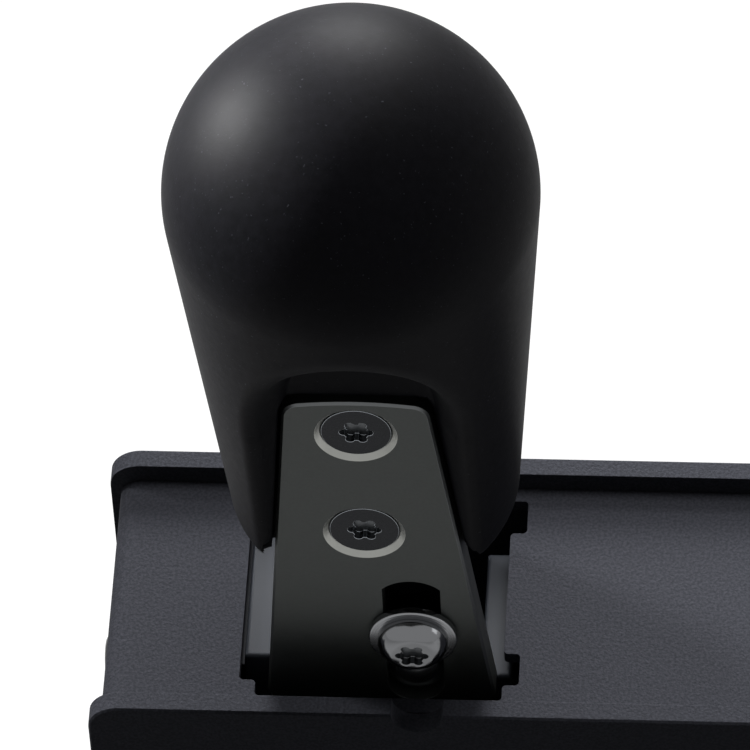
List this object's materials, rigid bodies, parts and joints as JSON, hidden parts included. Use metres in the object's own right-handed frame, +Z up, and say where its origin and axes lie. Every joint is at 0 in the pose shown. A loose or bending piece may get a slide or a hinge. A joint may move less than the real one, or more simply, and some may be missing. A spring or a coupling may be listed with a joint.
{
  "type": "sim racing gear shifter",
  "caption": "Sequential shifter: slim black box housing, sprung tilting lever with a tapered height plate clamped by a screw, and a domed black grip on top.",
  "frame": {"origin": "centre of the four base bolt holes, on the underside of the base plate", "axes": "+X along the housing away from the lever, +Y across it from the knob's open side to the back, +Z up along the lever"},
  "size_m": [0.1516, 0.049, 0.2252],
  "materials": {
    "powder_coated_steel": "fine matt texture",
    "blackened_steel_plate": "satin, bare edges",
    "matt_black_grip": "matt, moulded",
    "black_oxide_screw": "black oxide",
    "bright_steel": "bright zinc",
    "ground_steel": "ground",
    "anodised_aluminium": "black anodised",
    "plain_aluminium": "milled",
    "nickel_magnet": "nickel plated",
    "stop_rubber": "smooth",
    "circuit_board": "solder mask",
    "chip_plastic": "moulded",
    "spacer_nylon": "moulded"
  },
  "bodies": {
    "housing": {"front_side_plate": "powder_coated_steel", "rear_side_plate": "powder_coated_steel", "top_cover": "powder_coated_steel", "base_plate": "powder_coated_steel", "left_bulkhead": "anodised_aluminium", "right_bulkhead": "anodised_aluminium", "end_bar": "anodised_aluminium", "housing_screws": "black_oxide_screw", "cover_screws": "black_oxide_screw", "left_stop_pad": "stop_rubber", "right_stop_pad": "stop_rubber", "carrier_guide_rods": "ground_steel", "pivot_shaft": "ground_steel", "front_shaft_spacer": "anodised_aluminium", "rear_shaft_spacer": "anodised_aluminium", "inner_spacer": "ground_steel", "bearing_inner_rings": "ground_steel", "bearing_balls": "ground_steel", "sensor_board": "circuit_board", "hall_sensors": "chip_plastic", "controller_chip": "chip_plastic", "usb_socket": "ground_steel", "board_spacers": "spacer_nylon", "board_screws": "black_oxide_screw"},
    "lever": {"lower_lever": "anodised_aluminium", "bearing_outer_rings": "ground_steel", "bearing_shields": "ground_steel", "lever_magnets": "nickel_magnet", "sensor_magnet": "nickel_magnet", "clamp_screw": "bright_steel", "clamp_washer": "bright_steel", "clamp_bush": "black_oxide_screw", "guide_pin": "bright_steel"},
    "height_plate": {"upper_lever_plate": "blackened_steel_plate", "knob": "matt_black_grip", "knob_core": "plain_aluminium", "knob_screws": "black_oxide_screw"},
    "left_carrier": {"left_magnet_carrier": "anodised_aluminium", "left_carrier_magnet": "nickel_magnet"},
    "left_adjuster": {"left_adjuster_screw": "black_oxide_screw"},
    "right_carrier": {"right_magnet_carrier": "anodised_aluminium", "right_carrier_magnet": "nickel_magnet"},
    "right_adjuster": {"right_adjuster_screw": "black_oxide_screw"}
  },
  "joints": [
    {"name": "lever_swing", "type": "hinge", "parent": "housing", "child": "lever", "pos_m": [-0.0357, 0, 0.034], "axis": [0, 1, 0], "range_deg": [-2.2, 2.2], "stiffness_Nm_per_rad": 60},
    {"name": "knob_height", "type": "slide", "parent": "lever", "child": "height_plate", "axis": [0, 0, 1], "range_m": [-0.006, 0]},
    {"name": "left_carrier_slide", "type": "slide", "parent": "housing", "child": "left_carrier", "axis": [-1, 0, 0], "range_m": [0, 0.004]},
    {"name": "left_adjuster_turn", "type": "hinge", "parent": "left_carrier", "child": "left_adjuster", "pos_m": [-0.0657, 0, 0.074], "axis": [-1, 0, 0], "range_deg": [-1440, 0]},
    {"name": "right_carrier_slide", "type": "slide", "parent": "housing", "child": "right_carrier", "axis": [1, 0, 0], "range_m": [0, 0.004]},
    {"name": "right_adjuster_turn", "type": "hinge", "parent": "right_carrier", "child": "right_adjuster", "pos_m": [-0.0057, 0, 0.074], "axis": [1, 0, 0], "range_deg": [-1440, 0]}
  ],
  "couplings": [
    {"joint": "left_adjuster_turn", "follows": "left_carrier_slide", "rad_per_m": -6283.2},
    {"joint": "right_adjuster_turn", "follows": "right_carrier_slide", "rad_per_m": -6283.2}
  ]
}
